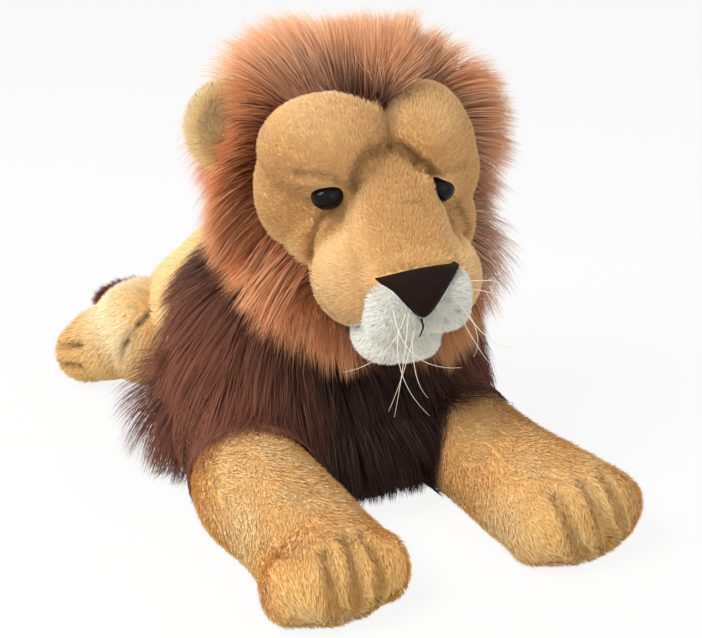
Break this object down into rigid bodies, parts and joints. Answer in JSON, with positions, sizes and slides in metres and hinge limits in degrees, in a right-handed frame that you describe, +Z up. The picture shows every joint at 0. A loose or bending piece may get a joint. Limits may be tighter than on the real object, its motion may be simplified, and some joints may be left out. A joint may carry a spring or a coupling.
{
  "type": "plush lion",
  "caption": "Large stuffed lion lying on its belly, front legs stretched out, head turned, with a long-pile mane, white muzzle and brown tail tuft.",
  "frame": {"origin": "on the floor under the belly, in the torso's middle plane", "axes": "+X towards the lion's left, +Y towards its tail, +Z up"},
  "size_m": [0.3546, 0.7015, 0.39],
  "materials": {
    "golden_plush": "short pile",
    "face_plush": "short pile",
    "rust_long_pile": "long pile",
    "brown_long_pile": "long pile",
    "white_plush": "short pile",
    "nose_cloth": "short satin pile",
    "sole_cloth": "flat cloth",
    "fibre_filling": "loose polyester fibre",
    "eye_plastic": "gloss",
    "washer_plastic": "matt",
    "whisker_nylon": "smooth nylon thread"
  },
  "bodies": {
    "torso": {"torso_skin": "golden_plush", "torso_filling": "fibre_filling", "mane_brown_bib": "brown_long_pile"},
    "neck": {"neck_filling": "fibre_filling"},
    "head": {"head_skin": "face_plush", "head_filling": "fibre_filling", "mane_rust_head": "rust_long_pile", "nose": "nose_cloth", "muzzle_pad_right": "white_plush", "muzzle_pad_left": "white_plush", "chin": "white_plush", "eye_right": "eye_plastic", "eye_left": "eye_plastic", "eye_washer_right": "washer_plastic", "eye_washer_left": "washer_plastic", "whisker_right_1": "whisker_nylon", "whisker_right_2": "whisker_nylon", "whisker_right_3": "whisker_nylon", "whisker_right_4": "whisker_nylon", "whisker_right_5": "whisker_nylon", "whisker_right_6": "whisker_nylon", "whisker_left_7": "whisker_nylon", "whisker_left_8": "whisker_nylon", "whisker_left_9": "whisker_nylon", "whisker_left_10": "whisker_nylon", "whisker_left_11": "whisker_nylon"},
    "ear_right": {"ear_back_right": "golden_plush", "ear_lining_right": "golden_plush"},
    "ear_left": {"ear_back_left": "golden_plush", "ear_lining_left": "golden_plush"},
    "tail": {"tail_skin": "golden_plush", "tail_filling": "fibre_filling", "tail_tuft": "brown_long_pile"},
    "front_leg_right": {"front_leg_right_skin": "golden_plush", "front_leg_right_filling": "fibre_filling", "front_leg_right_sole": "sole_cloth"},
    "front_leg_left": {"front_leg_left_skin": "golden_plush", "front_leg_left_filling": "fibre_filling", "front_leg_left_sole": "sole_cloth"},
    "hind_leg_right": {"hind_leg_right_skin": "golden_plush", "hind_leg_right_filling": "fibre_filling", "hind_leg_right_sole": "sole_cloth"},
    "hind_leg_left": {"hind_leg_left_skin": "golden_plush", "hind_leg_left_filling": "fibre_filling", "hind_leg_left_sole": "sole_cloth"}
  },
  "joints": [
    {"name": "neck_turn", "type": "hinge", "parent": "torso", "child": "neck", "pos_m": [0.0241, -0.06591, 0.26493], "axis": [0, 0, 1], "range_deg": [-8, 24], "stiffness_Nm_per_rad": 3},
    {"name": "head_nod", "type": "hinge", "parent": "neck", "child": "head", "pos_m": [0.0241, -0.06591, 0.26493], "axis": [0.9903, -0.1392, 0], "range_deg": [-10, 4], "stiffness_Nm_per_rad": 6},
    {"name": "front_leg_right_swing", "type": "hinge", "parent": "torso", "child": "front_leg_right", "pos_m": [-0.09394, -0.09202, 0.05692], "axis": [0, 0, 1], "range_deg": [-18, 6], "stiffness_Nm_per_rad": 2},
    {"name": "front_leg_left_swing", "type": "hinge", "parent": "torso", "child": "front_leg_left", "pos_m": [0.08405, -0.09587, 0.05692], "axis": [0, 0, 1], "range_deg": [-6, 18], "stiffness_Nm_per_rad": 2},
    {"name": "hind_leg_right_swing", "type": "hinge", "parent": "torso", "child": "hind_leg_right", "pos_m": [-0.09064, 0.17976, 0.05607], "axis": [0, 0, 1], "range_deg": [-6, 12], "stiffness_Nm_per_rad": 2},
    {"name": "hind_leg_left_swing", "type": "hinge", "parent": "torso", "child": "hind_leg_left", "pos_m": [0.09064, 0.17976, 0.05607], "axis": [0, 0, 1], "range_deg": [-12, 6], "stiffness_Nm_per_rad": 2},
    {"name": "tail_wag", "type": "hinge", "parent": "torso", "child": "tail", "pos_m": [-0.00206, 0.26793, 0.04408], "axis": [0, 0, 1], "range_deg": [-25, 25], "stiffness_Nm_per_rad": 0.3},
    {"name": "ear_right_fold", "type": "hinge", "parent": "head", "child": "ear_right", "pos_m": [-0.04931, -0.04517, 0.31481], "axis": [0, 0, 1], "range_deg": [-10, 10], "stiffness_Nm_per_rad": 0.08},
    {"name": "ear_left_fold", "type": "hinge", "parent": "head", "child": "ear_left", "pos_m": [0.10039, -0.06621, 0.31481], "axis": [0, 0, 1], "range_deg": [-10, 10], "stiffness_Nm_per_rad": 0.08}
  ]
}
